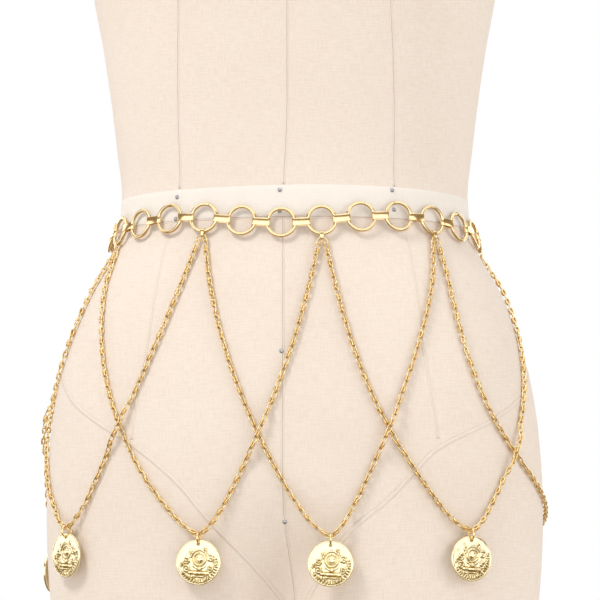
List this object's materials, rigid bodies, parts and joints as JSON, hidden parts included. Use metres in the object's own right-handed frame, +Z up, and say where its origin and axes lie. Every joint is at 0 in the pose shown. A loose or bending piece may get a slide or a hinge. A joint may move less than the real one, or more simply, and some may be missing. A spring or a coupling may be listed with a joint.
{
  "type": "coin chain belt on a limbless dress form",
  "caption": "Gold-tone ring-link chain belt with swagged fine chains and relief coin pendants, laid round the waist of a linen-covered dress form.",
  "frame": {"origin": "middle of the flat underside of the dress form", "axes": "+Z up through the neck, front of the form towards -Y, +X towards the right of the picture"},
  "size_m": [0.3727, 0.24, 0.812],
  "materials": {
    "linen": "matt woven linen cover",
    "gold_plate": "polished yellow gold plate"
  },
  "bodies": {
    "form_and_belt": {"dress_form": "linen", "link_01": "gold_plate", "link_02": "gold_plate", "link_03": "gold_plate", "link_04": "gold_plate", "link_05": "gold_plate", "link_06": "gold_plate", "link_07": "gold_plate", "link_08": "gold_plate", "link_09": "gold_plate", "link_10": "gold_plate", "link_11": "gold_plate", "link_12": "gold_plate", "link_13": "gold_plate", "link_14": "gold_plate", "link_15": "gold_plate", "link_16": "gold_plate", "link_17": "gold_plate", "link_18": "gold_plate", "link_19": "gold_plate", "link_20": "gold_plate", "link_21": "gold_plate", "link_22": "gold_plate", "link_23": "gold_plate", "link_24": "gold_plate", "link_25": "gold_plate", "clasp": "gold_plate", "hanger_02": "gold_plate", "hanger_05": "gold_plate", "hanger_08": "gold_plate", "hanger_11": "gold_plate", "hanger_14": "gold_plate", "hanger_17": "gold_plate", "hanger_20": "gold_plate", "hanger_23": "gold_plate", "swag_1": "gold_plate", "swag_2": "gold_plate", "swag_3": "gold_plate", "swag_4": "gold_plate", "swag_5": "gold_plate", "swag_6": "gold_plate"},
    "ring_1": {"jump_ring_1": "gold_plate"},
    "pendant_1": {"coin_1": "gold_plate"},
    "ring_2": {"jump_ring_2": "gold_plate"},
    "pendant_2": {"coin_2": "gold_plate"},
    "ring_3": {"jump_ring_3": "gold_plate"},
    "pendant_3": {"coin_3": "gold_plate"},
    "ring_4": {"jump_ring_4": "gold_plate"},
    "pendant_4": {"coin_4": "gold_plate"},
    "ring_5": {"jump_ring_5": "gold_plate"},
    "pendant_5": {"coin_5": "gold_plate"},
    "ring_6": {"jump_ring_6": "gold_plate"},
    "pendant_6": {"coin_6": "gold_plate"}
  },
  "joints": [
    {"name": "swing_1", "type": "hinge", "parent": "form_and_belt", "child": "ring_1", "pos_m": [-0.18292, 0.02971, 0.1209], "axis": [0.257, 0.9664, 0], "range_deg": [-8, 75]},
    {"name": "sway_1", "type": "hinge", "parent": "ring_1", "child": "pendant_1", "pos_m": [-0.18292, 0.02971, 0.11435], "axis": [-0.9664, 0.257, 0], "range_deg": [-18, 18]},
    {"name": "swing_2", "type": "hinge", "parent": "form_and_belt", "child": "ring_2", "pos_m": [-0.15697, -0.07494, 0.13177], "axis": [-0.7137, 0.7005, 0], "range_deg": [-8, 75]},
    {"name": "sway_2", "type": "hinge", "parent": "ring_2", "child": "pendant_2", "pos_m": [-0.15697, -0.07494, 0.12522], "axis": [-0.7005, -0.7137, 0], "range_deg": [-18, 18]},
    {"name": "swing_3", "type": "hinge", "parent": "form_and_belt", "child": "ring_3", "pos_m": [-0.05819, -0.11788, 0.12609], "axis": [-0.9889, 0.1484, 0], "range_deg": [-8, 75]},
    {"name": "sway_3", "type": "hinge", "parent": "ring_3", "child": "pendant_3", "pos_m": [-0.05819, -0.11788, 0.11954], "axis": [-0.1484, -0.9889, 0], "range_deg": [-18, 18]},
    {"name": "swing_4", "type": "hinge", "parent": "form_and_belt", "child": "ring_4", "pos_m": [0.03357, -0.12051, 0.1249], "axis": [-0.9975, -0.0713, 0], "range_deg": [-8, 75]},
    {"name": "sway_4", "type": "hinge", "parent": "ring_4", "child": "pendant_4", "pos_m": [0.03357, -0.12051, 0.11835], "axis": [0.0713, -0.9975, 0], "range_deg": [-18, 18]},
    {"name": "swing_5", "type": "hinge", "parent": "form_and_belt", "child": "ring_5", "pos_m": [0.13014, -0.09474, 0.12875], "axis": [-0.8699, -0.4933, 0], "range_deg": [-8, 75]},
    {"name": "sway_5", "type": "hinge", "parent": "ring_5", "child": "pendant_5", "pos_m": [0.13014, -0.09474, 0.1222], "axis": [0.4933, -0.8699, 0], "range_deg": [-18, 18]},
    {"name": "swing_6", "type": "hinge", "parent": "form_and_belt", "child": "ring_6", "pos_m": [0.16811, 0.06088, 0.12794], "axis": [0.596, -0.803, 0], "range_deg": [-8, 75]},
    {"name": "sway_6", "type": "hinge", "parent": "ring_6", "child": "pendant_6", "pos_m": [0.16811, 0.06088, 0.12139], "axis": [0.803, 0.596, 0], "range_deg": [-18, 18]}
  ]
}
